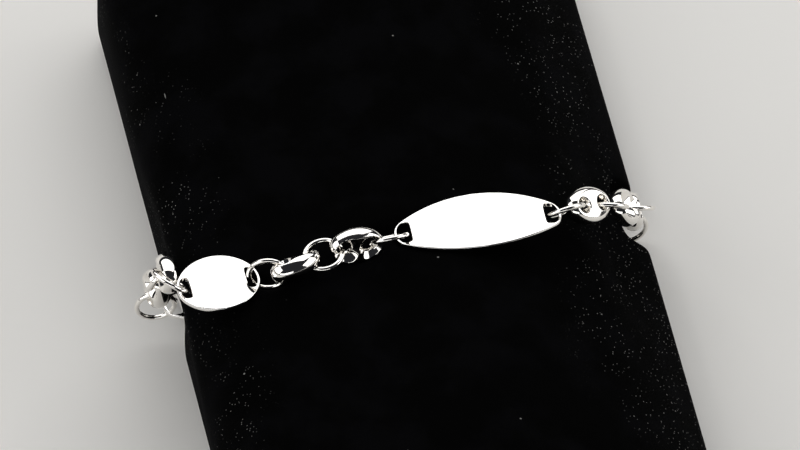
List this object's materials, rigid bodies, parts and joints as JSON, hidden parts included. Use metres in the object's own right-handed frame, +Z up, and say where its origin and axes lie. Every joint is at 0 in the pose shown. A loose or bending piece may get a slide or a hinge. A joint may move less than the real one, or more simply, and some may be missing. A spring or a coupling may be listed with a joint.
{
  "type": "chain bracelet on a display cushion",
  "caption": "Silver bracelet of round links, puffed links and smooth oval plates, closed round a low padded velvet cushion with a sloping shoulder.",
  "frame": {"origin": "middle of the cushion's flat underside", "axes": "+Z up, +X along the front stretch of the bracelet across the cushion, +Y away from the viewer along the cushion's length"},
  "size_m": [0.083, 0.15, 0.0294],
  "materials": {
    "silver": "mirror-polished silver with faint wear scratches",
    "plate_silver": "smooth mirror-polished silver plate",
    "velvet": "black short-pile velvet with a few specks of dust"
  },
  "bodies": {
    "root": {"cushion": "velvet", "clasp": "silver", "small_plate_1": "plate_silver", "small_plate_2": "plate_silver", "large_plate_1": "plate_silver", "large_plate_2": "plate_silver", "round_link_1": "silver", "round_link_2": "silver", "round_link_3": "silver", "round_link_4": "silver", "round_link_5": "silver", "round_link_6": "silver", "round_link_7": "silver", "round_link_8": "silver", "round_link_9": "silver", "round_link_10": "silver", "round_link_11": "silver", "round_link_12": "silver", "round_link_13": "silver", "puffed_link_1": "silver", "puffed_link_2": "silver", "puffed_link_3": "silver", "puffed_link_4": "silver", "puffed_link_5": "silver", "puffed_link_6": "silver", "puffed_link_7": "silver", "puffed_link_8": "silver"}
  },
  "joints": []
}
